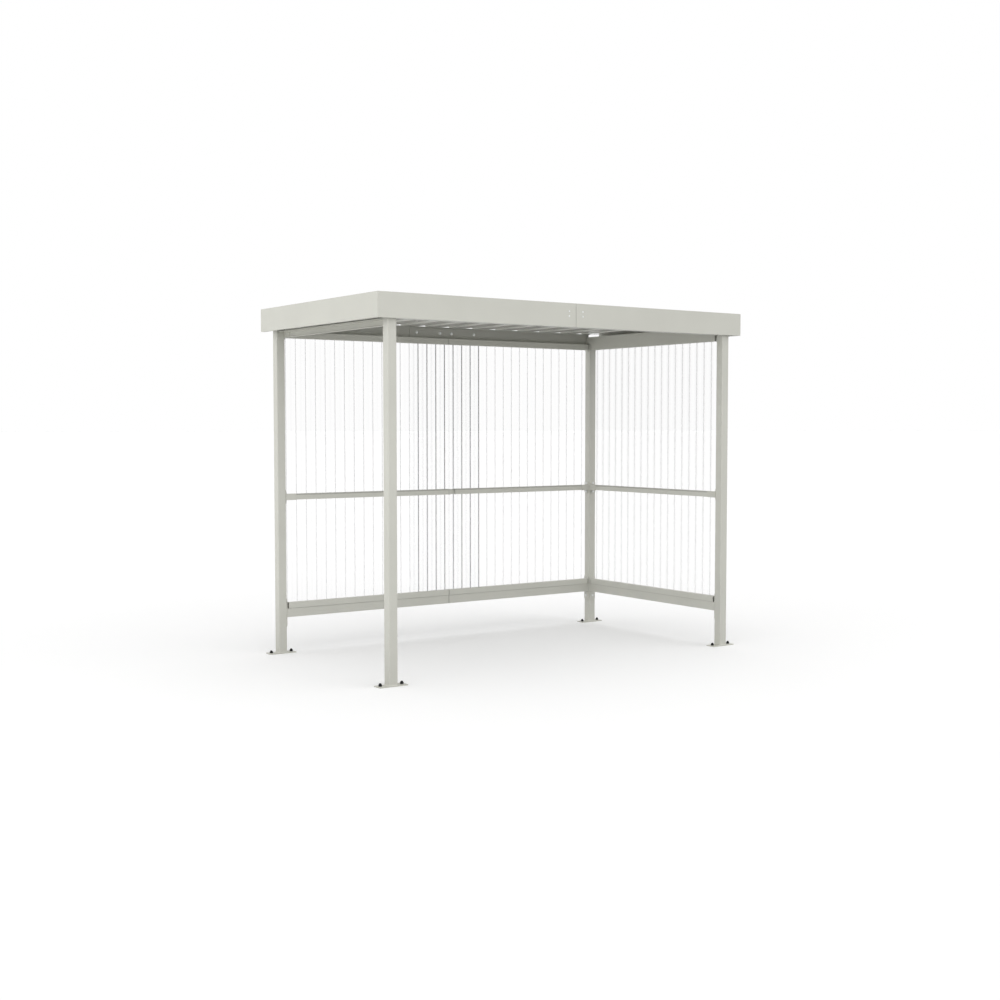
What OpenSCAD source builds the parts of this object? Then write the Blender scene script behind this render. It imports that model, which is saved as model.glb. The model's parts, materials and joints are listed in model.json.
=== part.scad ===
// Smoking shelter: an open steel frame on four posts, with clear ribbed sheets
// on the back and right sides and a flat ribbed roof behind a fascia on three sides.
// Millimetres. X runs right along the front, Y to the back, Z up.
// The origin is on the ground, at the centre of the footprint.

/* [Posts] */
// Distance between post centres along the front
post_spacing_x = 2710; // [1800:10:4000]
// Distance between post centres from front to back
post_spacing_y = 1485; // [1000:5:2500]
// Outside width of the square post tube
post_size = 60; // [50:1:100]
// Wall of the post tube
post_wall = 3; // [2:0.5:5]
// Outside corner radius of the post tube
post_corner = 5; // [3:0.5:10]

/* [Base plates] */
// Length of a base plate, along the front
plate_length = 195; // [130:1:300]
// Width of a base plate
plate_width = 75; // [64:1:150]
// Thickness of a base plate
plate_thick = 6; // [4:1:15]
// Distance of an anchor hole from the end of its plate
anchor_edge = 22.5; // [12:0.5:25]
// Diameter of an anchor hole
anchor_hole = 14; // [9:1:18]

/* [Heights] */
// Top of the bottom rails above the ground
bottom_rail_top = 348; // [250:1:500]
// Top of the middle rails above the ground
mid_rail_top = 1095; // [800:1:1300]
// Top of the top rails, on which the roof beams sit
top_rail_top = 2197; // [1900:1:2600]

/* [Rails] */
// Height of a channel rail
rail_height = 40; // [30:1:60]
// Depth of a rail from its face to its outer edges
rail_depth = 38; // [30:1:39]
// Depth of the rail over the open left side
left_rail_depth = 20; // [12:1:39]
// Sheet thickness of a rail
rail_wall = 2; // [1.5:0.5:3]
// Height of the two lips that the clear sheets are screwed to
rail_lip = 12; // [8:1:13]
// Gap between the end of a rail and the post
rail_end_gap = 16; // [10:1:30]
// Gap where two lengths of a rail, beam or fascia meet
joint_gap = 2; // [0.5:0.5:3]
// Gap between the two lengths of the middle rail at the back
mid_joint_gap = 40; // [1:1:60]
// Distance of that gap to the right of the shelter's middle
mid_joint_x = 35; // [0:5:200]
// Depth of the bars that join two lengths of a rail, behind its face
bar_depth = 12; // [6:1:20]

/* [Kick plates] */
// Height of the kick plate under a bottom rail
kick_height = 61; // [40:1:120]
// Sheet thickness of a kick plate
kick_wall = 2; // [1:0.5:3]
// Width of the folds along the edges of a kick plate
kick_fold = 20; // [10:1:30]
// How far a kick plate stands behind the face of its rail
kick_reveal = 4; // [1:0.5:8]
// Gap between a bottom rail and the kick plate under it
kick_gap = 1; // [0.5:0.5:5]

/* [Rail brackets] */
// Width of a bracket plate on a post
bracket_width = 50; // [40:1:50]
// Thickness of a bracket plate
bracket_thick = 6; // [4:0.5:8]
// Chamfer on the corners of a bracket plate
bracket_chamfer = 10; // [4:1:14]
// How far a bottom bracket reaches above its rail
bottom_bracket_rise = 27; // [20:1:60]
// How far a bottom bracket reaches below its kick plate
bottom_bracket_drop = 67; // [40:1:100]
// How far a middle bracket reaches above and below its rail
mid_bracket_over = 27; // [22:1:60]
// How far a top bracket reaches below its rail
top_bracket_drop = 12; // [8:1:40]
// Length of a bracket tongue from the post
tongue_length = 77; // [50:1:120]
// Thickness of a bracket tongue
tongue_thick = 4; // [3:0.5:6]
// How far a middle tongue stands over the edges of its rail
tongue_over = 2; // [1:0.5:4]
// Diameter of the bolt holes in the brackets and splices
bolt_hole = 9; // [6:0.5:11]

/* [Roof beams] */
// Height of the front and rear beams
beam_height = 85; // [75:1:140]
// Height of the side beams
side_beam_height = 63; // [50:1:74]
// Sheet thickness of the beams
beam_wall = 3; // [2:0.5:4]
// Depth of the beams from their web to the edge of the lower flange
beam_depth = 48; // [42:1:58]
// Width of the upper flange of the front and rear beams, under the deck
beam_top_flange = 22; // [15:1:40]
// How far the upper edges of the front and rear beams lie over the posts
beam_bearing = 22; // [5:1:40]
// Length of the plate that joins two lengths of beam
splice_length = 620; // [560:10:900]
// Thickness of a joining plate
splice_thick = 4; // [3:0.5:6]
// Gap between a joining plate and the flanges of its beam
splice_gap = 4; // [1:0.5:8]
// Distance of the inner bolts of a beam joint from its middle
splice_bolt_inner = 50; // [30:5:90]
// Distance of the outer bolts of a beam joint from its middle
splice_bolt_outer = 250; // [150:5:270]

/* [Roof deck] */
// Distance from rib to rib of the roof deck
deck_pitch = 207; // [180:1:240]
// Height of a rib
deck_depth = 35; // [25:1:50]
// Sheet thickness of the deck
deck_wall = 1; // [0.8:0.1:1.5]
// Width of the flat on top of a rib
deck_crest = 40; // [25:1:60]
// Sideways run of a rib's flank
deck_flank = 20; // [12:1:30]
// How far the deck reaches past the web of the rear beam
deck_rear_overhang = 5; // [0:1:10]
// Gap between the deck and the front and side fascias
deck_edge_gap = 3; // [1:1:10]
// Number of ribs spanned by the middle length of deck
deck_middle_ribs = 4; // [2:2:8]

/* [Fascia] */
// Height of the fascia
fascia_height = 152; // [145:1:220]
// How far the fascia reaches below the roof beams
fascia_drop = 2; // [0:1:20]
// Sheet thickness of the fascia
fascia_wall = 2; // [1:0.5:3]
// Distance of the fascia face from the posts at the sides
fascia_overhang_x = 85; // [40:1:200]
// Distance of the fascia face from the posts at the front
fascia_overhang_y = 29; // [20:1:60]
// How far the side fascias reach past the posts at the open back
fascia_rear_reach = 4; // [0:1:60]
// Width of the fold along the upper edge of the fascia
fascia_top_fold = 30; // [15:1:60]
// Gap between the lower fold of the fascia and the posts
fascia_post_gap = 3; // [1:0.5:6]
// Length of the plate behind a fascia joint
fascia_splice_length = 160; // [140:1:300]
// Height of the plate behind a fascia joint
fascia_splice_height = 100; // [80:1:120]
// Thickness of the plate behind a fascia joint
fascia_splice_thick = 3; // [2:0.5:5]
// Height of the plate above the lower edge of the fascia
fascia_splice_rise = 30; // [10:1:36]

/* [Fascia brackets] */
// Width of a channel bracket that carries the fascia
spacer_width = 50; // [30:1:50]
// Height of the top of the posts above a channel bracket
spacer_top_gap = 2; // [0:1:10]
// Sheet thickness of a channel bracket
spacer_wall = 3; // [2:0.5:5]
// Height of a channel bracket above the underside of the beams
spacer_rise = 14; // [5:1:15]

/* [Clear sheets] */
// Distance from rib to rib of the clear sheets
sheet_pitch = 76; // [60:1:100]
// Height of a sheet rib
sheet_depth = 18; // [12:1:18]
// Thickness of the clear sheets
sheet_wall = 1.2; // [0.8:0.1:1.4]
// Sideways run of a rib's flank
sheet_flank = 5; // [3:1:15]
// Distance of the ribs from the middle of a wall, to the left or to the front
sheet_shift = 6; // [0:1:38]
// Number of ribs by which the two back sheets lap
sheet_lap_ribs = 8; // [2:2:12]
// Gap between a sheet and the posts beside it
sheet_edge_gap = 9; // [9:1:20]
// Height of a sheet's lower edge above the lower edge of the kick plate
sheet_bottom_gap = 8; // [0:1:40]
// Gap between the upper edge of a sheet and the roof beams
sheet_top_gap = 3; // [1:1:20]

/* [Hidden] */

$fn = 48;
PAINT = [0.80, 0.80, 0.76];
SHADE = [0.70, 0.70, 0.66];
CLEAR = [0.88, 0.92, 0.95, 0.45];
LEFT = -1;
RIGHT = 1;
FRONT = -1;
BACK = 1;
past = 1;                                     // how far a cutter runs past a face

post_x = post_spacing_x / 2;
post_y = post_spacing_y / 2;
inner_x = post_x - post_size / 2;             // inner faces of the posts
inner_y = post_y - post_size / 2;
outer_x = post_x + post_size / 2;             // outer faces of the posts
outer_y = post_y + post_size / 2;
anchor_spacing = plate_length - 2 * anchor_edge;

bottom_rail_z = bottom_rail_top - rail_height;
mid_rail_z = mid_rail_top - rail_height;
top_rail_z = top_rail_top - rail_height;
kick_z = bottom_rail_z - kick_height;
post_top = top_rail_top + side_beam_height;   // top of the posts and of the side beams
deck_z = top_rail_top + beam_height;          // underside of the deck

fascia_z = top_rail_top - fascia_drop;
fascia_x = outer_x + fascia_overhang_x;       // outer faces of the side fascias
fascia_y = outer_y + fascia_overhang_y;       // outer face of the front fascia, before it is mirrored
fascia_rear = outer_y + fascia_rear_reach;    // rear ends of the side fascias
fascia_bottom_fold = fascia_overhang_y - fascia_wall - fascia_post_gap;
spacer_z = top_rail_top + spacer_rise;
spacer_height = side_beam_height - spacer_rise - spacer_top_gap;

sheet_z = kick_z + sheet_bottom_gap;
sheet_top = top_rail_top - sheet_top_gap;
sheet_crest = sheet_pitch / 2 - sheet_flank;  // width of the flats of the ribs
sheet_rise = sheet_depth - sheet_wall;
sheet_slope = norm([sheet_flank, sheet_rise]);
sheet_spread = sheet_wall * (sheet_slope - sheet_flank) / sheet_rise;   // of the outer face, at a bend
sheet_nest = sheet_wall * sheet_slope / sheet_flank;   // depth of a sheet that lies on another

deck_joint_x = deck_middle_ribs / 2 * deck_pitch;
deck_end_x = fascia_x - fascia_wall - deck_edge_gap;

inside_rail = rail_depth - rail_wall - tongue_thick;   // depth of a tongue inside a rail, by its lips

// Points of a strip between two edges that run the same way
function strip(lower, upper) =
    concat(lower, [for (i = [len(upper) - 1 : -1 : 0]) upper[i]]);

// Carries a section, drawn as depth and height, along X from x0 to x1
module along_x(x0, x1) {
    translate([x0, 0, 0])
        rotate([90, 0, 90])
            linear_extrude(x1 - x0)
                children();
}

// Carries a section, drawn as depth and height, along Y from y0 to y1
module along_y(y0, y1) {
    translate([0, y1, 0])
        rotate([90, 0, 0])
            linear_extrude(y1 - y0)
                children();
}

// Puts a section on the inner face of one wall, with its depth pointing outwards
module on_back() translate([0, inner_y, 0]) children();
module on_front() mirror([0, 1, 0]) on_back() children();
module on_right() translate([inner_x, 0, 0]) children();
module on_left() mirror([1, 0, 0]) on_right() children();

// Square with round corners, about the origin
module round_square(size, radius) {
    straight = size - 2 * radius;
    square([size, straight], center = true);
    square([straight, size], center = true);
    for (x = [-1, 1], y = [-1, 1])
        translate([x * straight / 2, y * straight / 2])
            circle(radius);
}

// Post tube, open at the top, from its base plate to the top of the side beams
module post(side_x, side_y) {
    hollow = post_size - 2 * post_wall;
    hollow_corner = max(post_corner - post_wall, post_wall / 6);
    color(PAINT)
        translate([side_x * post_x, side_y * post_y, plate_thick])
            linear_extrude(post_top - plate_thick)
                difference() {
                    round_square(post_size, post_corner);
                    round_square(hollow, hollow_corner);
                }
}

// Base plate with its two anchor holes
module base_plate(side_x, side_y) {
    color(PAINT)
        translate([side_x * post_x, side_y * post_y, 0])
            difference() {
                translate([-plate_length / 2, -plate_width / 2, 0])
                    cube([plate_length, plate_width, plate_thick]);
                for (x = [-1, 1])
                    translate([x * anchor_spacing / 2, 0, -past])
                        cylinder(h = plate_thick + 2 * past, d = anchor_hole);
            }
}

// Section of a rail: a channel that opens outwards, with two lips, its lower edge at z
module rail_section(z, lip = rail_lip, depth = rail_depth) {
    translate([0, z])
        difference() {
            square([depth, rail_height]);
            translate([rail_wall, rail_wall])
                square([depth - 2 * rail_wall, rail_height - 2 * rail_wall]);
            translate([rail_wall, lip])
                square([depth, rail_height - 2 * lip]);
        }
}

// Section of a kick plate: a flat face with folds outwards along both edges
module kick_section() {
    tall = kick_height - kick_gap;
    translate([kick_reveal, kick_z])
        difference() {
            square([kick_fold, tall]);
            translate([kick_wall, kick_wall])
                square([kick_fold, tall - 2 * kick_wall]);
        }
}

// Bar that joins two lengths of a rail or kick plate from inside, between its folds
module joint_bar(x, z, tall) {
    translate([x - tongue_length, bar_depth, z])
        cube([2 * tongue_length, tongue_thick, tall]);
}

// One length of a rail on the back wall, from the post to the joint near the middle
module back_rail(side, z, joint_x = 0, gap = joint_gap) {
    color(PAINT)
        on_back()
            if (side == LEFT)
                along_x(-inner_x + rail_end_gap, joint_x - gap / 2) rail_section(z);
            else
                along_x(joint_x + gap / 2, inner_x - rail_end_gap) rail_section(z);
}

// Bottom or top rail at the back: its left length carries the bar that joins the two
module joined_back_rail(side, z) {
    back_rail(side, z);
    if (side == LEFT)
        color(PAINT)
            on_back()
                joint_bar(0, z + rail_wall, rail_height - 2 * rail_wall);
}

module back_mid_rail(side) {
    back_rail(side, mid_rail_z, mid_joint_x, mid_joint_gap);
}

// Rail between the posts of one side
module side_rail(z, lip = rail_lip, depth = rail_depth) {
    color(PAINT)
        along_y(-inner_y + rail_end_gap, inner_y - rail_end_gap) rail_section(z, lip, depth);
}

// Rail over the open left side: it carries no sheet, so it is shallow and has no lips
module left_top_rail() {
    on_left() side_rail(top_rail_z, rail_wall, left_rail_depth);
}

// One half of the kick plate on the back wall, up to the bracket on the post
module back_kick_plate(side) {
    color(PAINT)
        on_back()
            if (side == LEFT) {
                along_x(-inner_x + bracket_thick, -joint_gap / 2) kick_section();
                joint_bar(0, kick_z + kick_wall, kick_height - kick_gap - 2 * kick_wall);
            }
            else
                along_x(joint_gap / 2, inner_x - bracket_thick) kick_section();
}

module side_kick_plate() {
    color(PAINT)
        on_right()
            along_y(-inner_y + bracket_thick, inner_y - bracket_thick) kick_section();
}

// Flat bar inside the two middle rails, across the gap between them
module mid_rail_splice() {
    color(SHADE)
        on_back()
            joint_bar(mid_joint_x, mid_rail_z + rail_wall, rail_height - 2 * rail_wall);
}

// Bracket plate on the face of a post: drawn across the post and up, with two bolt holes
module bracket_plate(z0, z1, bolts) {
    edge = (post_size - bracket_width) / 2;
    c = bracket_chamfer;
    difference() {
        translate([edge, 0])
            polygon([
                [c, z0], [bracket_width - c, z0], [bracket_width, z0 + c],
                [bracket_width, z1 - c], [bracket_width - c, z1], [c, z1],
                [0, z1 - c], [0, z0 + c]
            ]);
        for (z = bolts)
            translate([post_size / 2, z])
                circle(d = bolt_hole);
    }
}

// Tongue of a bracket, on the face of its rail or inside it at the given depth
module tongue_section(z, on_face, depth) {
    over = on_face ? tongue_over : -rail_wall;
    translate([on_face ? -tongue_thick : depth, z - over])
        square([tongue_thick, rail_height + 2 * over]);
}

// The foot of a face tongue, which brings it back to the bracket plate
module tongue_foot(z) {
    translate([-tongue_thick, z - tongue_over])
        square([tongue_thick + post_size / 2, rail_height + 2 * tongue_over]);
}

// Brackets at the left end of a back wall, from their plates on the post's inner face
module end_bracket(z, z0, z1, bolts, on_face, depth = inside_rail) {
    along_x(0, bracket_thick) {
        bracket_plate(z0, z1, bolts);
        if (on_face)
            tongue_foot(z);
    }
    along_x(0, tongue_length) tongue_section(z, on_face, depth);
}

module bottom_bracket() {
    z0 = kick_z - bottom_bracket_drop;
    z1 = bottom_rail_top + bottom_bracket_rise;
    end_bracket(bottom_rail_z, z0, z1, [z0 + bottom_bracket_drop / 2], false);
}

module mid_bracket() {
    z0 = mid_rail_z - mid_bracket_over;
    z1 = mid_rail_top + mid_bracket_over;
    reach = mid_bracket_over / 2;
    end_bracket(mid_rail_z, z0, z1, [z0 + reach, z1 - reach], true);
}

module top_bracket(depth = inside_rail) {
    end_bracket(top_rail_z, top_rail_z - top_bracket_drop, top_rail_top, [], false, depth);
}

// The brackets of a clad wall at one post: bottom, middle and top
module wall_brackets() {
    bottom_bracket();
    mid_bracket();
    top_bracket();
}

// Places brackets, drawn for the left end of the back wall, at the other ends
module at_back_left() translate([-inner_x, inner_y, 0]) children();
module at_back_right() mirror([1, 0, 0]) at_back_left() children();
module at_right_back() translate([inner_x, inner_y, 0]) rotate([0, 0, -90]) children();
module at_right_front() mirror([0, 1, 0]) at_right_back() children();
module at_left_back() mirror([1, 0, 0]) at_right_back() children();
module at_left_front() mirror([0, 1, 0]) at_left_back() children();

module brackets_front_left() {
    color(SHADE) at_left_front() top_bracket(rail_wall);
}

module brackets_front_right() {
    color(SHADE) at_right_front() wall_brackets();
}

module brackets_back_left() {
    color(SHADE) {
        at_back_left() wall_brackets();
        at_left_back() top_bracket(rail_wall);
    }
}

module brackets_back_right() {
    color(SHADE) {
        at_back_right() wall_brackets();
        at_right_back() wall_brackets();
    }
}

// Upper part of the section of a front or rear beam, down to z: the web and its short flange
module beam_edge(z) {
    translate([beam_depth - beam_wall, z])
        square([beam_wall, deck_z - z]);
    translate([beam_depth - beam_top_flange, deck_z - beam_wall])
        square([beam_top_flange, beam_wall]);
}

// Section of a front or rear beam: a channel that opens inwards
module beam_section() {
    beam_edge(top_rail_top);
    translate([0, top_rail_top])
        square([beam_depth, beam_wall]);
}

// Section of a side beam: a channel that opens outwards
module side_beam_section() {
    translate([0, top_rail_top])
        difference() {
            square([beam_depth, side_beam_height]);
            translate([beam_wall, beam_wall])
                square([beam_depth, side_beam_height - 2 * beam_wall]);
        }
}

// Right half of a beam, drawn for the back wall: its upper edge runs on over the post
module beam_half() {
    color(SHADE) {
        along_x(joint_gap / 2, inner_x) beam_section();
        along_x(inner_x, inner_x + beam_bearing) beam_edge(post_top);
    }
}

module side_beam() {
    color(PAINT)
        along_y(-inner_y, inner_y) side_beam_section();
}

// Plate on the inside of a beam's web, across the joint of its two lengths
module beam_splice() {
    web = beam_depth - beam_wall;
    low = top_rail_top + beam_wall + splice_gap;
    tall = beam_height - 2 * (beam_wall + splice_gap);
    difference() {
        translate([-splice_length / 2, web - splice_thick, low])
            cube([splice_length, splice_thick, tall]);
        for (side = [LEFT, RIGHT], x = [splice_bolt_inner, splice_bolt_outer])
            translate([side * x, web + past, low + tall / 2])
                rotate([90, 0, 0])
                    cylinder(h = splice_thick + 2 * past, d = bolt_hole);
    }
}

module beam_splices() {
    color(SHADE) {
        on_back() beam_splice();
        on_front() beam_splice();
    }
}

// Points of one edge of the deck's section, from rib to rib, at a given height
function deck_edge(ribs, z) = [
    for (i = [-ribs : ribs], p = [
        [-deck_crest / 2 - deck_flank, 0], [-deck_crest / 2, deck_depth - deck_wall],
        [deck_crest / 2, deck_depth - deck_wall], [deck_crest / 2 + deck_flank, 0]
    ]) [i * deck_pitch + p[0], z + p[1]]
];

// Ribbed deck between x0 and x1, with its ribs from front to back
module deck(x0, x1) {
    front = -fascia_y + fascia_wall + deck_edge_gap;
    rear = inner_y + beam_depth + deck_rear_overhang;
    ribs = ceil(fascia_x / deck_pitch);
    color(SHADE)
        along_y(front, rear)
            intersection() {
                polygon(strip(deck_edge(ribs, deck_z), deck_edge(ribs, deck_z + deck_wall)));
                translate([x0, deck_z - past])
                    square([x1 - x0, deck_depth + 2 * past]);
            }
}

module roof_deck_left() {
    deck(-deck_end_x, -deck_joint_x - joint_gap / 2);
}

module roof_deck_middle() {
    deck(-deck_joint_x + joint_gap / 2, deck_joint_x - joint_gap / 2);
}

module roof_deck_right() {
    deck(deck_joint_x + joint_gap / 2, deck_end_x);
}

// Section of the fascia: a tall face with folds inwards along both edges
module fascia_section() {
    translate([-fascia_wall, fascia_z])
        square([fascia_wall, fascia_height]);
    translate([-fascia_wall - fascia_bottom_fold, fascia_z])
        square([fascia_bottom_fold + fascia_wall, fascia_wall]);
    translate([-fascia_wall - fascia_top_fold, fascia_z + fascia_height - fascia_wall])
        square([fascia_top_fold + fascia_wall, fascia_wall]);
}

// Cuts away what lies outside a 45 degree mitre at the right end of a fascia at the back
module mitre_cut() {
    reach = fascia_top_fold + 3 * fascia_wall;
    translate([0, 0, fascia_z - past])
        linear_extrude(fascia_height + 2 * past)
            polygon([[0, 0], [past, 0], [past, -reach], [-reach, -reach]]);
}

// Half of the front fascia, drawn at the back: from the middle joint to its mitre at the right
module fascia_half() {
    color(PAINT)
        difference() {
            translate([0, fascia_y, 0])
                along_x(joint_gap / 2, fascia_x) fascia_section();
            translate([fascia_x, fascia_y, 0])
                mitre_cut();
        }
}

// Right fascia in one length, mitred at the front and cut square at the open back
module side_fascia() {
    color(PAINT)
        difference() {
            translate([fascia_x, 0, 0])
                along_y(-fascia_y, fascia_rear) fascia_section();
            mirror([0, 1, 0])
                translate([fascia_x, fascia_y, 0])
                    mirror([1, 0, 0])
                        rotate([0, 0, 90])
                            mitre_cut();
        }
}

// Plate behind the joint of the front fascia
module fascia_splice() {
    color(SHADE)
        translate([
            -fascia_splice_length / 2,
            -fascia_y + fascia_wall,
            fascia_z + fascia_splice_rise
        ])
            cube([fascia_splice_length, fascia_splice_thick, fascia_splice_height]);
}

// Channel bracket that stands out along Y by the given depth, its web at y = 0
module spacer(depth) {
    translate([-spacer_width / 2, 0, spacer_z])
        difference() {
            cube([spacer_width, depth, spacer_height]);
            translate([spacer_wall, spacer_wall, -past])
                cube([spacer_width - 2 * spacer_wall, depth, spacer_height + 2 * past]);
        }
}

// Brackets between the frame and the fascia: on each post, and at the joint in front
module fascia_brackets() {
    joint_depth = fascia_y - fascia_wall - fascia_splice_thick - inner_y - beam_depth;
    color(SHADE) {
        mirror([0, 1, 0]) {
            translate([0, inner_y + beam_depth, 0])
                spacer(joint_depth);
            for (side = [LEFT, RIGHT])
                translate([side * post_x, outer_y, 0])
                    spacer(fascia_overhang_y - fascia_wall);
        }
        for (side = [LEFT, RIGHT], end = [FRONT, BACK])
            translate([side * outer_x, end * post_y, 0])
                rotate([0, 0, -90 * side])
                    spacer(fascia_overhang_x - fascia_wall);
    }
}

// Points of one face of the clear sheet's section, its ribs spread out at the bends
function sheet_face(ribs, depth, spread) = [
    for (i = [-ribs : ribs], p = [
        [-sheet_flank / 2 - spread, 0], [sheet_flank / 2 - spread, sheet_rise],
        [sheet_flank / 2 + sheet_crest + spread, sheet_rise],
        [3 * sheet_flank / 2 + sheet_crest + spread, 0]
    ]) [i * sheet_pitch - sheet_shift + p[0], depth + p[1]]
];

// Ribbed clear sheet, drawn in plan from a0 to a1 along the wall, behind the rails
module ribbed_sheet(a0, a1, layer) {
    depth = rail_depth + layer * sheet_nest;
    ribs = ceil(inner_x / sheet_pitch) + 1;
    inner_face = sheet_face(ribs, depth, 0);
    outer_face = sheet_face(ribs, depth + sheet_wall, sheet_spread);
    color(CLEAR)
        translate([0, 0, sheet_z])
            linear_extrude(sheet_top - sheet_z)
                intersection() {
                    polygon(strip(inner_face, outer_face));
                    translate([a0, 0])
                        square([a1 - a0, 2 * (rail_depth + sheet_depth)]);
                }
}

module back_sheet(side) {
    lap = sheet_lap_ribs / 2 * sheet_pitch;
    on_back()
        if (side == LEFT)
            ribbed_sheet(-inner_x + sheet_edge_gap, lap, 0);
        else
            ribbed_sheet(-lap, inner_x - sheet_edge_gap, 1);
}

module side_sheet() {
    on_right()
        mirror([0, 1, 0])
            rotate([0, 0, -90])
                ribbed_sheet(-inner_y + sheet_edge_gap, inner_y - sheet_edge_gap, 0);
}

post(LEFT, FRONT);  // post_front_left
post(RIGHT, FRONT);  // post_front_right
post(LEFT, BACK);  // post_back_left
post(RIGHT, BACK);  // post_back_right
base_plate(LEFT, FRONT);  // base_plate_front_left
base_plate(RIGHT, FRONT);  // base_plate_front_right
base_plate(LEFT, BACK);  // base_plate_back_left
base_plate(RIGHT, BACK);  // base_plate_back_right
joined_back_rail(LEFT, bottom_rail_z);  // back_bottom_rail_left
joined_back_rail(RIGHT, bottom_rail_z);  // back_bottom_rail_right
on_right() side_rail(bottom_rail_z);  // side_bottom_rail
back_kick_plate(LEFT);  // back_kick_plate_left
back_kick_plate(RIGHT);  // back_kick_plate_right
side_kick_plate();
back_mid_rail(LEFT);  // back_mid_rail_left
back_mid_rail(RIGHT);  // back_mid_rail_right
on_right() side_rail(mid_rail_z);  // side_mid_rail
mid_rail_splice();
joined_back_rail(LEFT, top_rail_z);  // back_top_rail_left
joined_back_rail(RIGHT, top_rail_z);  // back_top_rail_right
on_right() side_rail(top_rail_z);  // right_top_rail
left_top_rail();
brackets_front_left();
brackets_front_right();
brackets_back_left();
brackets_back_right();
mirror([1, 0, 0]) on_front() beam_half();  // front_beam_left
on_front() beam_half();  // front_beam_right
mirror([1, 0, 0]) on_back() beam_half();  // rear_beam_left
on_back() beam_half();  // rear_beam_right
beam_splices();
on_left() side_beam();  // left_side_beam
on_right() side_beam();  // right_side_beam
roof_deck_left();
roof_deck_middle();
roof_deck_right();
mirror([1, 0, 0]) mirror([0, 1, 0]) fascia_half();  // front_fascia_left
mirror([0, 1, 0]) fascia_half();  // front_fascia_right
mirror([1, 0, 0]) side_fascia();  // left_fascia
side_fascia();  // right_fascia
fascia_splice();
fascia_brackets();
back_sheet(LEFT);  // back_sheet_left
back_sheet(RIGHT);  // back_sheet_right
side_sheet();
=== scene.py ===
# %% [markdown]
# # A smoking shelter, dressed in Blender
# The steel frame, the ribbed sheets, the roof deck and the fascia arrive as solids at their real size.
# This lesson gives every surface its finish, adds the bolts and screws that hold the pieces together, and
# sets up the floor, the light and the camera. Nothing that arrives is moved or resized.

# %% Load the solids and keep their box
import json

import bpy
import numpy as np
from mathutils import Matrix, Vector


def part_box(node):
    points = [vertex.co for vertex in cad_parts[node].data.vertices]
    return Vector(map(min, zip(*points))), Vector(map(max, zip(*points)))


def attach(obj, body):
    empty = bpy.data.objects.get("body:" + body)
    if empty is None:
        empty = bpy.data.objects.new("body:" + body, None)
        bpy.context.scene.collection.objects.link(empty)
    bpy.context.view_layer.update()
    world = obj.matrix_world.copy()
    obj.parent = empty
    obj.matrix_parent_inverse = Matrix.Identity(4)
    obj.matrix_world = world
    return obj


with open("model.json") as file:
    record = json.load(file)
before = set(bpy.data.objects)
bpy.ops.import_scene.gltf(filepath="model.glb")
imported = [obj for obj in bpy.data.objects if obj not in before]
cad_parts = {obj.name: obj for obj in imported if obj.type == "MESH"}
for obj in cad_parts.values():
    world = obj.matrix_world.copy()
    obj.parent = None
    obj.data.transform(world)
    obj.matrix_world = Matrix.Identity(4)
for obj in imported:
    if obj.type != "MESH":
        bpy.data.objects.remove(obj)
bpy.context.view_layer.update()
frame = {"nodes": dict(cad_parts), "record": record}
MM = 0.001

# %% [markdown]
# ## Measuring from the pieces
# A bolt sits where two pieces meet, so its place is read from their boxes and not typed in a second time.
# `low` and `high` give a corner of a piece, and `middle` gives its centre, as numpy arrays in metres.


# %% Corners and centres of the pieces
def low(node):
    """Lowest corner of a piece."""
    return np.array(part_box(node)[0])


def high(node):
    """Highest corner of a piece."""
    return np.array(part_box(node)[1])


def middle(node):
    """Centre of a piece: the mean of its two corners."""
    return (low(node) + high(node)) / 2


CORNERS = ("front_left", "front_right", "back_left", "back_right")
POSTS = {corner: middle("post_" + corner) for corner in CORNERS}
post_half = (high("post_front_left") - low("post_front_left"))[0] / 2
print("post spacing:", np.round(POSTS["front_right"] - POSTS["front_left"], 3))
print("half width of a post:", round(post_half, 4))

# %% [markdown]
# ## Shader maths as Python
# A finish is a sum of small effects: a fine grain, a little dust, a slow drift in gloss. Clicking Math nodes
# together hides the formula, so a small class wraps a socket and turns `1 - dust * 0.5` into those nodes.


# %% The wire
class Wire:
    """One output socket, with arithmetic that adds Math nodes to its finish."""

    def __init__(self, finish, socket):
        self.finish = finish
        self.socket = socket

    def _math(self, operation, first, second):
        return self.finish.node("ShaderNodeMath", {"operation": operation}, {0: first, 1: second})[0]

    def __add__(self, other):
        return self._math("ADD", self, other)

    def __radd__(self, other):
        return self._math("ADD", other, self)

    def __sub__(self, other):
        return self._math("SUBTRACT", self, other)

    def __rsub__(self, other):
        return self._math("SUBTRACT", other, self)

    def __mul__(self, other):
        return self._math("MULTIPLY", self, other)

    def __rmul__(self, other):
        return self._math("MULTIPLY", other, self)

    def __pow__(self, other):
        return self._math("POWER", self, other)


# %% [markdown]
# ## A finish under construction
# `Finish.node` adds any kind of node: first its settings, then the values or wires of its sockets. The other
# methods are short names for the nodes that this shelter needs: where a point lies, which way its face
# looks, noise, a ramp between two values, a mix of two colours and a fine relief.


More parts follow.
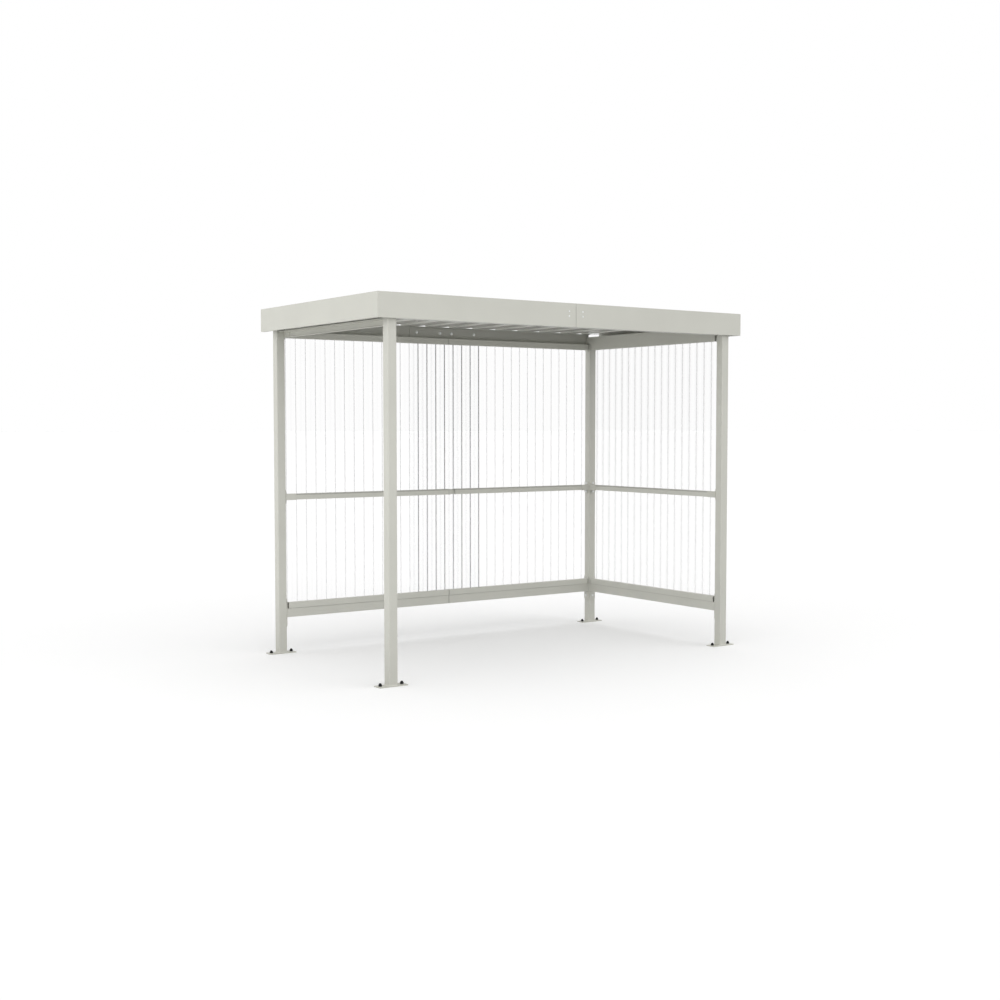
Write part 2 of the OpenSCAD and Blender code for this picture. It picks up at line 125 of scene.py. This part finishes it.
# %% The finish
class Finish:
    """A material or world under construction, with one method that adds any kind of node."""

    def __init__(self, name, world=False):
        self.owner = (bpy.data.worlds if world else bpy.data.materials).new(name)
        self.owner.use_nodes = True
        self.tree = self.owner.node_tree
        self.tree.nodes.clear()
        self.output = self.tree.nodes.new("ShaderNodeOutputWorld" if world else "ShaderNodeOutputMaterial")

    def node(self, kind, settings=None, inputs=None):
        """Adds a node and returns its outputs as a list of wires."""
        made = self.tree.nodes.new(kind)
        for key, value in (settings or {}).items():
            setattr(made, key, value)
        for key, value in (inputs or {}).items():
            if isinstance(value, Wire):
                self.tree.links.new(value.socket, made.inputs[key])
            else:
                made.inputs[key].default_value = value
        return [Wire(self, socket) for socket in made.outputs]

    def place(self, output=3):
        """Object coordinates: metres in the shelter's own frame. In a world, output 0 is the direction."""
        return self.node("ShaderNodeTexCoord")[output]

    def axis(self, place, index):
        """One coordinate of a point, as a value."""
        return self.node("ShaderNodeSeparateXYZ", inputs={0: place})[index]

    def facing(self):
        """The direction that the surface looks in."""
        return self.node("ShaderNodeNewGeometry")[1]

    def stretched(self, place, scale):
        """A place with each coordinate scaled, which draws noise out along the axis of the smallest scale."""
        return self.node("ShaderNodeMapping", inputs={"Vector": place, "Scale": scale})[0]

    def grain(self, place, scale, detail=2.0):
        """Noise from 0 to 1 with about `scale` lumps to the metre."""
        return self.node("ShaderNodeTexNoise", inputs={"Vector": place, "Scale": scale, "Detail": detail})[0]

    def ramp(self, value, start, end, low_value=0.0, high_value=1.0):
        """A value that climbs from low_value at start to high_value at end, and is flat outside them."""
        sockets = {0: value, 1: start, 2: end, 3: low_value, 4: high_value}
        return self.node("ShaderNodeMapRange", {"clamp": True}, sockets)[0]

    def blend(self, factor, first, second):
        """Mix of two colours."""
        sockets = {0: factor, 6: first, 7: second}
        return self.node("ShaderNodeMix", {"data_type": "RGBA"}, sockets)[2]

    def bump(self, height, strength, distance):
        """Normal of a surface with fine relief."""
        sockets = {"Height": height, "Strength": strength, "Distance": distance}
        return self.node("ShaderNodeBump", inputs=sockets)[0]

    def size(self, value):
        """A value without its sign."""
        return self.node("ShaderNodeMath", {"operation": "ABSOLUTE"}, {0: value})[0]

    def larger(self, first, second):
        """The larger of two values."""
        return self.node("ShaderNodeMath", {"operation": "MAXIMUM"}, {0: first, 1: second})[0]

    def seen_directly(self):
        """One for rays from the camera, in a mirror or through glass, and zero for the rays that only light."""
        path = self.node("ShaderNodeLightPath")
        camera_ray, mirror_ray, glass_ray = path[0], path[3], path[6]
        return self.larger(self.larger(camera_ray, mirror_ray), glass_ray)

    def close(self, shader):
        """Joins a shader to the output and returns the finished material or world."""
        self.tree.links.new(shader.socket, self.output.inputs["Surface"])
        return self.owner


# %% [markdown]
# ## Colours
# Colours are written as they look on a screen. A shader works with linear light, so they are converted once.


# %% Screen colours to linear ones
def srgb(red, green, blue):
    """A screen colour, from 0 to 255, as the linear colour that a shader takes."""
    c = np.array([red, green, blue]) / 255
    linear = np.where(c <= 0.04045, c / 12.92, ((c + 0.055) / 1.055) ** 2.4)
    return (*linear.tolist(), 1.0)


def deeper(colour, share):
    """A colour with only a share of its light."""
    return tuple(share * v for v in colour[:3]) + (1.0,)


# %% [markdown]
# ## Powder coat
# The frame and the fascia are steel with a pale, slightly warm grey powder coat. Up close such a coat has a
# fine orange peel about a millimetre across, it is a touch duller where dust lies on ledges and near the
# ground, and its colour drifts by a percent or two. The butt joints, which all lie in the middle of the
# shelter, get painted shade, stronger low down. All of that is noise and masks on Object coordinates, so
# that the pattern runs on over neighbouring pieces at the same scale.

# %% Powder coat
COAT_DUST = srgb(190, 188, 177)
# Colour of the painted shade in the butt joints and along the rail lines
PAINTED_SHADE_COLOUR = srgb(78, 77, 71)
JOINT_SHADE = 0.45
PEEL_LUMPS = 900.0


def powder_coat(name, colour, joint_shade=JOINT_SHADE, lines=()):
    """Pale satin coat: peel bump, slow drift of colour and gloss, dust on ledges and low down, painted shade in
    the joints.

    Each line is a level band of painted shade: its lower and upper height, and how much of it there is.
    """
    finish = Finish(name)
    place = finish.place()
    height = finish.axis(place, 2)
    cloud = finish.grain(place, 18.0, 4.0)
    peel = finish.grain(place, PEEL_LUMPS, 1.0)
    ledge = finish.ramp(finish.axis(finish.facing(), 2), 0.6, 1.0) * 0.18
    near_ground = finish.ramp(height, 0.0, 0.22, 0.15, 0.0)
    dust = (ledge + near_ground) * finish.ramp(cloud, 0.3, 0.7, 0.4, 1.0)
    drift = finish.ramp(finish.grain(place, 3.0), 0.35, 0.65)
    tone = finish.blend(drift, colour, deeper(colour, 0.965))
    # Painted shade: a dark band on each side of x = 0 along the butt joints, stronger low down
    seam = finish.ramp(finish.size(finish.axis(place, 0)), 1.5 * MM, 4.5 * MM, joint_shade, 0.0)
    painted_shade = seam * finish.ramp(height, 0.4, 1.8, 1.0, 0.4)
    for under, over, amount in lines:
        above = finish.ramp(height, under - MM, under, 0.0, amount)
        painted_shade = finish.larger(painted_shade, above * finish.ramp(height, over, over + MM, 1.0, 0.0))
    shader = finish.node("ShaderNodeBsdfPrincipled", inputs={
        "Base Color": finish.blend(painted_shade, finish.blend(dust, tone, COAT_DUST), PAINTED_SHADE_COLOUR),
        "Roughness": 0.4 + 0.1 * cloud + 0.2 * dust,
        "Specular IOR Level": 0.4,
        "Normal": finish.bump(peel, 0.12, 0.4 * MM),
    })[0]
    return finish.close(shader)


# %% [markdown]
# ## Three coats of one paint
# Most of the steel takes the plain coat. The beams inside the roof get a darker copy of it, painted shade for
# the deep shade there, and a plate covers their joints, so they get no painted joint shade. The rails and kick
# plates carry two more lines of painted shade: in the long joint between a bottom rail and its kick plate, and
# a painted shadow along the top of the middle rail.

# %% Plain coat, beam coat and rail coat
COAT = srgb(209, 209, 200)
# A darker copy of the coat: painted shade for the beams deep under the roof
SHADED_BEAM_COAT = srgb(193, 193, 185)
JOINT_LINE = 1.5 * MM
TOP_LINE = 9 * MM
kick_joint = low("side_bottom_rail")[2]
mid_top = high("side_mid_rail")[2]
# Painted shade in the joint between a bottom rail and its kick plate, and a painted shadow under the top of the
# middle rail
painted_shade_lines = [
    (kick_joint - JOINT_LINE, kick_joint + JOINT_LINE, 0.22),
    (mid_top - TOP_LINE, mid_top, 0.34),
]
coat = powder_coat("powder_coat", COAT)
beam_coat = powder_coat("beam_coat", SHADED_BEAM_COAT, 0.0)
rail_coat = powder_coat("rail_coat", COAT, lines=painted_shade_lines)
print("made", coat.name, beam_coat.name, rail_coat.name)
print("grime lines:", np.round(painted_shade_lines, 4).tolist())

# %% [markdown]
# ## Coil-coated roof deck
# The roof deck is rolled from coated coil, so its grain is not a peel: it is stretched along the ribs, in the
# direction the strip ran through the rollers. Squeezing the noise's coordinates along the rib gives those
# faint roll lines. The coat is glossy: seen from below at a slant, the ribs mirror the daylight at the open
# back and the flats mirror the dark beam. Water leaves dust in the troughs on the upper side.

# %% Deck coating
DECK = srgb(224, 224, 217)
ALONG_RIBS = (1.0, 0.03, 1.0)


def rolled_coat(name, colour):
    """Coil coat: streaks along Y, a slow drift of tone, dust where the face looks up."""
    finish = Finish(name)
    place = finish.place()
    streak = finish.grain(finish.stretched(place, ALONG_RIBS), 220.0, 3.0)
    cloud = finish.grain(place, 9.0, 4.0)
    looks_up = finish.ramp(finish.axis(finish.facing(), 2), 0.5, 1.0)
    dust = looks_up * finish.ramp(cloud, 0.35, 0.7, 0.1, 0.45)
    tone = finish.blend(finish.ramp(streak, 0.3, 0.7), colour, deeper(colour, 0.955))
    shader = finish.node("ShaderNodeBsdfPrincipled", inputs={
        "Base Color": finish.blend(dust, tone, COAT_DUST),
        "Roughness": 0.1 + 0.06 * streak + 0.35 * dust,
        "Specular IOR Level": 0.5,
        "Normal": finish.bump(streak, 0.03, 0.3 * MM),
    })[0]
    return finish.close(shader)


deck_coat = rolled_coat("deck_coat", DECK)
print("made", deck_coat.name)

# %% [markdown]
# ## Clear ribbed sheet
# The walls are clear plastic, a little over a millimetre thick. Seen square on it almost vanishes. Where a
# flank of a rib is seen along its length, the eye looks through many times that thickness and the sheet
# turns grey, which draws the upright lines on the walls. Refraction through such thin walls is not worth its
# noise, so the sheet is a mix of clear and glossy, and Layer Weight makes it denser at a slant. The flats
# only keep a thin veil of it, so that they don't hold back the light.
#
# Three places differ: the back wall, the lap where its two sheets lie on each other with a film of air and
# dust between them, and the side wall, which is seen at another slant. Lower down the lines are painted
# paler, as painted light for the light that comes from the floor.

# %% Where the sheets differ
SHEET_TINT = srgb(120, 122, 124)
SHEET_PITCH = 76 * MM
LAP = 4 * SHEET_PITCH
SIDE_WALL = low("side_sheet")[0] - 1 * MM

# each value: on the back wall, in its lap, on the side wall
LOW_SHADE = (0.67, 0.73, 0.56)
LINE_GAIN = (1.15, 1.7, 1.15)
LINE_POWER = (4.0, 3.0, 3.15)
FLAT_VEIL = (0.12, 0.12, 0.52)


def by_wall(values, lapped, beside):
    """The first value, moved to the second where lapped is one and to the third where beside is one."""
    usual, in_lap, at_side = values
    return usual + (in_lap - usual) * lapped + (at_side - usual) * beside


print("lap from", -LAP, "to", LAP, "side wall from", round(SIDE_WALL, 4))

# %% [markdown]
# ## How dense the sheet is
# The density is a small constant plus the lines, and both fade lower down: painted light for the light from the
# floor. A flank is told from a flat by its normal: on the back wall the normal of a flank points along X, and
# on the side wall along Y. Faint upright drawing lines from the extruder come last.

# %% Clear sheet
UPRIGHT = (1.0, 1.0, 0.02)


def clear_plastic(name, colour):
    """Clear sheet: transparent when faced, denser at a slant and in the lap, with faint drawing lines."""
    finish = Finish(name)
    place = finish.place()
    drawing = finish.grain(finish.stretched(place, UPRIGHT), 300.0, 2.0)
    slant = finish.node("ShaderNodeLayerWeight", inputs={"Blend": 0.5})[1]
    across = finish.axis(place, 0)
    lapped = finish.ramp(finish.size(across), LAP - MM, LAP + MM, 1.0, 0.0)
    beside = finish.ramp(across, SIDE_WALL - MM, SIDE_WALL + MM)
    # Painted light: lower down the sheet is made thinner and its lines paler, for the light from the floor
    up = finish.ramp(finish.axis(place, 2), 0.6, 1.9)
    shade = by_wall(LOW_SHADE, lapped, beside) * (1 - up) + up
    normal = finish.facing()
    along_x, along_y = (finish.size(finish.axis(normal, index)) for index in (0, 1))
    along = along_x * (1 - beside) + along_y * beside
    flank = finish.ramp(along, 0.3, 0.7, by_wall(FLAT_VEIL, lapped, beside), 1.0)
    lines = flank * by_wall(LINE_GAIN, lapped, beside) * slant ** by_wall(LINE_POWER, lapped, beside)
    density = (0.004 + lines) * shade + 0.008 * drawing
    gloss = finish.node("ShaderNodeBsdfPrincipled", inputs={
        "Base Color": colour,
        "Roughness": 0.08 + 0.06 * drawing,
        "IOR": 1.53,
    })[0]
    clear = finish.node("ShaderNodeBsdfTransparent")[0]
    mixed = finish.node("ShaderNodeMixShader", inputs={0: density, 1: clear, 2: gloss})[0]
    return finish.close(mixed)


sheet_plastic = clear_plastic("clear_sheet", SHEET_TINT)
print("made", sheet_plastic.name)

# %% [markdown]
# ## Dressing the solids
# The record says which slot each piece takes its finish from, so the finish follows the slot. Only the front
# and rear beams with their joining plates, and the rails with their kick plates, have a coat of their own.

# %% Dress every piece
FINISHES = {"frame_paint": coat, "deck_coating": deck_coat, "clear_sheet": sheet_plastic}
BEAMS = ("front_beam_left", "front_beam_right", "rear_beam_left", "rear_beam_right", "beam_splices")
RAIL_KINDS = ("kick_plate", "bottom_rail", "mid_rail")
rails = [name for name in frame["nodes"] if any(kind in name for kind in RAIL_KINDS)]
# The beams take the darker coat of painted shade, and the rails take the coat with lines of painted shade
own_coat = {**dict.fromkeys(BEAMS, beam_coat), **dict.fromkeys(rails, rail_coat)}
slot_of = {part["node"]: part["material_slot"] for part in frame["record"]["subparts"]}
for name, piece in frame["nodes"].items():
    piece.data.materials.clear()
    piece.data.materials.append(own_coat.get(name, FINISHES[slot_of[name]]))
print("dressed", len(frame["nodes"]), "pieces, with the beam coat:", len(BEAMS), "rail coat:", len(rails))

# %% [markdown]
# ## Turned shapes
# A hexagon nut, a domed screw and a washer are all turned shapes: a profile of radius against height, carried
# round an axis. A hexagon is the same thing with its radius divided by the cosine of the angle from the
# nearest flat. The profiles are written in millimetres.


# %% Turned templates
def turned(radii, heights, hexagon, sides):
    """Points of a turned shape: radius times the direction of each angle.

    The rings of a hexagon swell from its flats to its corners.
    """
    angle = np.arange(sides) * 2 * np.pi / sides
    from_flat = (angle + np.pi / 6) % (np.pi / 3) - np.pi / 6
    swell = np.where(np.array(hexagon, bool)[:, None], 1 / np.cos(from_flat), 1.0)
    spread = np.array(radii)[:, None] * MM * swell
    points = np.empty((len(radii), sides, 3))
    points[..., 0] = spread * np.cos(angle)
    points[..., 1] = spread * np.sin(angle)
    points[..., 2] = np.array(heights)[:, None] * MM
    return points


def turned_faces(rings, sides):
    """Quads between neighbouring rings, and one face on each end, the lower one wound the other way."""
    ring, side = np.meshgrid(np.arange(rings - 1), np.arange(sides), indexing="ij")
    here = ring * sides + side
    after = ring * sides + (side + 1) % sides
    quads = np.stack([here, after, after + sides, here + sides], axis=-1).reshape(-1, 4)
    bottom = np.arange(sides)[::-1]
    top = (rings - 1) * sides + np.arange(sides)
    return quads, np.stack([bottom, top])


# %% [markdown]
# ## Many copies in one mesh
# One template is worked out once as arrays, and is then copied to every place by adding the array of places
# to the array of points, with no loop over points. Each copy is first turned so that its axis follows the
# face that it stands on. The faces are copied the same way, by adding the number of points before each copy.


# %% Copies of a template
def add_mesh(name, points, faces, material):
    """A mesh object at the origin with one material."""
    mesh = bpy.data.meshes.new(name)
    mesh.from_pydata(points.reshape(-1, 3).tolist(), [], faces)
    mesh.materials.append(material)
    piece = bpy.data.objects.new(name, mesh)
    bpy.context.scene.collection.objects.link(piece)
    return piece


def turn_to(axis):
    """Rotation that turns a template's +Z to the given axis: its columns are the new X, Y and Z."""
    z = np.array(axis, float)
    x = np.array([1.0, 0, 0]) if abs(z[0]) < 0.5 else np.array([0, 1.0, 0])
    return np.column_stack([x, np.cross(z, x), z])


def heads(name, template, places, axes, material):
    """One mesh of a template copied to every place: rotation of each axis times the points, plus the place."""
    rings, sides = template.shape[:2]
    flat = template.reshape(-1, 3)
    turns = np.stack([turn_to(axis) for axis in axes])
    points = np.einsum("nij,kj->nki", turns, flat) + np.array(places)[:, None, :]
    quads, ends = turned_faces(rings, sides)
    before = np.arange(len(places))[:, None, None] * len(flat)
    faces = (quads + before).reshape(-1, 4).tolist() + (ends + before).reshape(-1, sides).tolist()
    piece = add_mesh(name, points, faces, material)
    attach(piece, "root")
    print(name, "copies:", len(places), "triangles:", sum(len(face) - 2 for face in faces))
    return piece


# %% [markdown]
# ## Black coat
# The anchors are the only dark pieces. Their coat is a dull black, a little paler where it is worn.

# %% Black coat
BLACK = srgb(8, 8, 9)
WORN_BLACK = srgb(20, 20, 22)


def black_coat(name):
    """Dull black coat: dark, slightly uneven, with a fine grain."""
    finish = Finish(name)
    cloud = finish.grain(finish.place(), 160.0, 3.0)
    shader = finish.node("ShaderNodeBsdfPrincipled", inputs={
        "Base Color": finish.blend(finish.ramp(cloud, 0.45, 0.75), BLACK, WORN_BLACK),
        "Roughness": 0.42 + 0.2 * cloud,
        "Specular IOR Level": 0.25,
        "Normal": finish.bump(cloud, 0.15, 0.3 * MM),
    })[0]
    return finish.close(shader)


black = black_coat("black_anchor")
print("made", black.name)

# %% [markdown]
# ## Anchor bolts
# Two anchors hold each base plate down. The photo shows them as small round black heads: a washer and a
# hexagon nut with a domed cap, standing on the plate over its hole. The record's mounts say where they are.

# %% Anchor bolts
CAP_NUT = turned(
    [10.5, 10.5, 9.6, 9.6, 9.4, 8.6, 7.0, 4.6, 2.0],
    [0.0, 2.0, 2.1, 9.0, 11.2, 13.8, 16.4, 18.4, 19.2],
    [0, 0, 1, 1, 0, 0, 0, 0, 0], 24)
plate_top = high("base_plate_front_left")[2]
anchor_places = []
for mount in frame["record"]["mounts"]:
    if mount["kind"] == "bolt_pattern":
        x, y, _ = mount["pos_m"]
        half = mount["dims"]["spacing_x_mm"] / 2 * MM
        anchor_places += [(x - half, y, plate_top), (x + half, y, plate_top)]
heads("anchor_bolts", CAP_NUT, anchor_places, [(0, 0, 1)] * len(anchor_places), black)

# %% [markdown]
# ## Zinc
# The bolts and screws of the frame are zinc plated: a pale, slightly mottled metal that is duller than steel.

# %% Zinc
ZINC = srgb(240, 241, 240)
DULL_ZINC = srgb(222, 224, 223)


def zinc_plate(name):
    """Zinc plate: metal with a faint mottle in tone and gloss."""
    finish = Finish(name)
    mottle = finish.grain(finish.place(), 420.0, 3.0)
    shader = finish.node("ShaderNodeBsdfPrincipled", inputs={
        "Base Color": finish.blend(finish.ramp(mottle, 0.35, 0.7), ZINC, DULL_ZINC),
        "Roughness": 0.22 + 0.15 * mottle,
        "Metallic": 0.85,
    })[0]
    return finish.close(shader)


zinc = zinc_plate("zinc_plate")
print("made", zinc.name)

# %% [markdown]
# ## Bracket bolts
# Each rail bracket is bolted to its post: one bolt under the bottom rail, and one above and one below the
# middle rail. The heads face into the room, so their axis is that of the post's face.

# %% Bracket bolts
HEX_BOLT = turned([8.5, 8.5, 6.5, 6.5, 5.6], [0.0, 1.6, 1.7, 6.0, 7.0], [0, 0, 1, 1, 0], 12)
BRACKET_PLATE = 6 * MM
BOLT_FROM_RAIL = 13.5 * MM
rail_low, rail_high = low("side_mid_rail")[2], high("side_mid_rail")[2]
under_bottom_rail = (low("brackets_back_left")[2] + low("side_kick_plate")[2]) / 2
bolt_heights = [under_bottom_rail, rail_low - BOLT_FROM_RAIL, rail_high + BOLT_FROM_RAIL]
bracket_faces = [
    ("back_left", (1, 0, 0)),
    ("back_right", (-1, 0, 0)),
    ("back_right", (0, -1, 0)),
    ("front_right", (0, 1, 0)),
]
bolt_places, bolt_axes = [], []
for corner, axis in bracket_faces:
    x, y, _ = POSTS[corner] + np.array(axis) * (post_half + BRACKET_PLATE)
    bolt_places += [(x, y, z) for z in bolt_heights]
    bolt_axes += [axis] * len(bolt_heights)
heads("bracket_bolts", HEX_BOLT, bolt_places, bolt_axes, zinc)

# %% [markdown]
# ## Bolts of the beam joints
# The front and rear beams are each made of two lengths, joined by a plate on the inside of the web. Four
# bolts hold each plate, two near the joint and two near the plate's ends.

# %% Beam bolts
BEAM_BOLT = turned([11.0, 11.0, 7.5, 7.5, 6.4], [0.0, 2.0, 2.1, 7.4, 8.5], [0, 0, 1, 1, 0], 12)
SPLICE_PLATE = 4 * MM
BEAM_BOLT_X = np.array([-250, -50, 50, 250]) * MM
splice_height = middle("beam_splices")[2]
splice_face = high("beam_splices")[1] - SPLICE_PLATE
beam_places = [(x, y, splice_height) for y in (splice_face, -splice_face) for x in BEAM_BOLT_X]
beam_axes = [(0, -1, 0)] * len(BEAM_BOLT_X) + [(0, 1, 0)] * len(BEAM_BOLT_X)
heads("beam_bolts", BEAM_BOLT, beam_places, beam_axes, zinc)

# %% [markdown]
# ## Screws of the fascia joint
# The front fascia meets in the middle over a hidden plate, and four low domed screws hold its two lengths.

# %% Fascia screws
DOME = turned([6.5, 6.5, 5.9, 4.6, 2.6], [0.0, 0.8, 1.9, 2.8, 3.2], [0, 0, 0, 0, 0], 12)
FASCIA_SCREW_X = np.array([-55, 55]) * MM
FASCIA_SCREW_DROP = np.array([52, 83]) * MM
fascia_front = low("front_fascia_left")[1]
fascia_top = high("front_fascia_left")[2]
fascia_places = [(x, fascia_front, fascia_top - drop) for x in FASCIA_SCREW_X for drop in FASCIA_SCREW_DROP]
heads("fascia_screws", DOME, fascia_places, [(0, -1, 0)] * len(fascia_places), zinc)

# %% [markdown]
# ## Screws under the middle rail
# Three small screws come up through the underside of the middle rail, near the bar that joins its lengths.

# %% Rail screws
RAIL_SCREW_X = np.array([-34, 10, 154]) * MM
RAIL_SCREW_IN = 9 * MM
rail_screw_y = low("back_mid_rail_left")[1] + RAIL_SCREW_IN
rail_places = [(x, rail_screw_y, rail_low) for x in RAIL_SCREW_X]
heads("rail_screws", DOME, rail_places, [(0, 0, -1)] * len(rail_places), zinc)

# %% [markdown]
# ## Deck screws
# Self-drilling screws with sealing washers hold the deck down in the middle of its flats, over both beams.

# %% Deck screws
SEALED = turned([8.0, 7.4, 4.6, 4.6, 3.6], [0.0, 2.0, 2.4, 6.0, 7.0], [0, 0, 1, 1, 0], 12)
DECK_SHEET = 1 * MM
DECK_PITCH = 207 * MM
DECK_FLATS = 14
SCREW_OVER_BEAM = 37 * MM
deck_flat = low("roof_deck_middle")[2] + DECK_SHEET
deck_x = (np.arange(DECK_FLATS) - (DECK_FLATS - 1) / 2) * DECK_PITCH
beam_y = POSTS["back_left"][1] - post_half + SCREW_OVER_BEAM
deck_places = [(x, y, deck_flat) for y in (-beam_y, beam_y) for x in deck_x]
heads("deck_screws", SEALED, deck_places, [(0, 0, 1)] * len(deck_places), zinc)

# %% [markdown]
# ## Sheet screws
# The clear sheets are held in every third trough, at each rail, from the outside. In the lap the screws stand
# on the right sheet, which lies outside the left one.

# %% Sheet screws
SHEET_WALL = 1.2 * MM
FIRST_TROUGH = -25 * MM
BELOW_RAIL_MIDDLE = 14 * MM
rail_names = ("side_bottom_rail", "side_mid_rail", "right_top_rail")
screw_heights = [middle(name)[2] - BELOW_RAIL_MIDDLE for name in rail_names]
left_y, right_y = (low(name)[1] + SHEET_WALL for name in ("back_sheet_left", "back_sheet_right"))
sheet_x = low("side_sheet")[0] + SHEET_WALL
back_x = FIRST_TROUGH + np.arange(-16, 18, 3) * SHEET_PITCH
side_y = FIRST_TROUGH + np.arange(-8, 10, 3) * SHEET_PITCH
back_places = [(x, left_y if x < -LAP else right_y, z) for x in back_x for z in screw_heights]
side_places = [(sheet_x, y, z) for y in side_y for z in screw_heights]
sheet_axes = [(0, 1, 0)] * len(back_places) + [(1, 0, 0)] * len(side_places)
heads("sheet_screws", SEALED, back_places + side_places, sheet_axes, zinc)

# %% [markdown]
# ## Weld at the foot of a post
# A post is welded all round to its base plate. The bead is a small hollow profile carried along the outline
# of the tube, and it swells and shrinks a little, as the ripples of a hand-made weld do.

# %% The bead of one post
BEAD = 4.5 * MM
TUBE_CORNER = 5 * MM
RIPPLE = 0.12
RIPPLE_STEP = 2.4
HOLLOW = 1.5


def weld_ring(centre, half, corner, height, steps=40, across=5):
    """Bead round a square tube: a quarter-round profile along the outline, its size rippled with the length."""
    quarter = np.linspace(0, np.pi / 2, steps // 4)
    angle = np.concatenate([quarter + k * np.pi / 2 for k in range(4)])
    side = np.repeat([[1, 1], [-1, 1], [-1, -1], [1, -1]], steps // 4, axis=0)
    out = np.stack([np.cos(angle), np.sin(angle)], axis=-1)
    wall = side * (half - corner) + out * corner
    swell = 1 + RIPPLE * np.sin(np.arange(steps) * RIPPLE_STEP)
    turn = np.linspace(0, np.pi / 2, across)
    reach = BEAD * (1 - np.sin(turn)[None, :] ** HOLLOW) * swell[:, None]
    rise = BEAD * (1 - np.cos(turn)[None, :] ** HOLLOW) * swell[:, None]
    ring = np.empty((steps, across, 3))
    ring[..., :2] = wall[:, None, :] + out[:, None, :] * reach[..., None] + np.array(centre)[:2]
    ring[..., 2] = height + rise
    return ring


# %% [markdown]
# ## Four beads in one mesh
# The four beads are stacked in one array, and their quads follow from the indices of that array: along the
# outline, which closes on itself, and across the bead.

# %% Welds
rings = np.stack([weld_ring(post, post_half, TUBE_CORNER, plate_top) for post in POSTS.values()])
index = np.arange(rings[..., 0].size).reshape(rings.shape[:3])
along_outline = np.roll(index, -1, axis=1)
weld_quads = np.stack([
    index[..., :-1], along_outline[..., :-1], along_outline[..., 1:], index[..., 1:],
], axis=-1).reshape(-1, 4)
welds = add_mesh("post_welds", rings, weld_quads.tolist(), coat)
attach(welds, "root")
print("post_welds quads:", len(weld_quads))

# %% [markdown]
# ## Camera
# The view was worked out from the edges of the posts, rails and fascia: from the front left, a little above
# the height of the middle rail, looking slightly down.

# %% Camera
camera_data = bpy.data.cameras.new("camera")
camera_data.sensor_width = 36.0
camera_data.lens = 49.82
camera = bpy.data.objects.new("camera", camera_data)
camera.location = (-5.538, -7.869, 1.556)
camera.rotation_euler = np.radians([86.96, 0.0, -34.95])
bpy.context.scene.collection.objects.link(camera)
bpy.context.scene.camera = camera
print("camera at", tuple(round(v, 3) for v in camera.location))

# %% [markdown]
# ## Floor
# The shelter stands on a white studio floor that runs into a white background. To the camera the floor is
# white where nothing shades it, with the roof's soft shadow, and its tone eases off a little with distance.
# As a source of light it is darker, so that the inside of the roof stays in shade, except on the left, where
# it throws light up under the open side.

# %% Floor
FLOOR_REACH = 400.0
FLOOR_NEAR = 0.4
FLOOR_LEFT = 0.92
FLOOR_SEEN = 1.035
FLOOR_FAR = 1.02


def white_floor(name):
    """Matt white floor, paler to the camera and to mirror-like rays than to the rays that only light."""
    finish = Finish(name)
    seen = finish.seen_directly()
    place = finish.place()
    open_left = finish.ramp(finish.axis(place, 0), -2.4, -1.4, 1.0, 0.0)
    bounce = FLOOR_NEAR + (FLOOR_LEFT - FLOOR_NEAR) * open_left
    away = finish.node("ShaderNodeVectorMath", {"operation": "LENGTH"}, {0: place})[1]
    shade = seen * finish.ramp(away, 1.5, 3.5, FLOOR_SEEN, FLOOR_FAR) + (1 - seen) * bounce
    matt = finish.node("ShaderNodeBsdfDiffuse", inputs={"Color": shade})[0]
    return finish.close(matt)


floor_corners = np.array([[-1, -1, 0], [1, -1, 0], [1, 1, 0], [-1, 1, 0]]) * FLOOR_REACH
floor = add_mesh("floor", floor_corners, [[0, 1, 2, 3]], white_floor("studio_floor"))
print("floor reaches", FLOOR_REACH, "m")

# %% [markdown]
# ## Light
# The studio is one large soft tent. Most of its light comes from a broad lamp on the left, a soft one
# overhead and the whole front, with a faint fill from the back and the right. To the camera, in mirrors and
# through glass the tent is plain white. A line of sight may cross the lapped sheets a dozen times, so rays
# are allowed enough crossings to come out on the other side.

# %% Studio tent
SKY_TOP = 0.26
SKY_LAMP = 1.18
SKY_LEFT = 2.32
SKY_FRONT = 1.33
SKY_BACK = 0.5
SKY_RIGHT = 0.28
LAMP_FOCUS = 6.0
SHEET_CROSSINGS = 32


def studio_tent(name):
    """White to the eye; as light, it grows to the left, to the front and to a soft lamp overhead."""
    finish = Finish(name, world=True)
    direction = finish.place(0)
    right, back, up = (finish.axis(direction, index) for index in range(3))
    left = finish.larger(-1.0 * right, 0.0)
    front = finish.larger(-1.0 * back, 0.0)
    top = finish.larger(up, 0.0)
    lamps = SKY_LAMP * top ** LAMP_FOCUS + SKY_LEFT * left ** LAMP_FOCUS
    fill = SKY_BACK * finish.larger(back, 0.0) + SKY_RIGHT * finish.larger(right, 0.0)
    light = SKY_TOP * top + SKY_FRONT * front + lamps + fill
    seen = finish.seen_directly()
    sockets = {"Color": (1, 1, 1, 1), "Strength": seen + (1 - seen) * light}
    return finish.close(finish.node("ShaderNodeBackground", inputs=sockets)[0])


scene = bpy.context.scene
scene.world = studio_tent("studio")
scene.view_settings.view_transform = "Standard"
scene.cycles.transparent_max_bounces = SHEET_CROSSINGS
print("light:", SKY_TOP, SKY_LAMP, SKY_LEFT, SKY_FRONT, SKY_BACK, SKY_RIGHT)
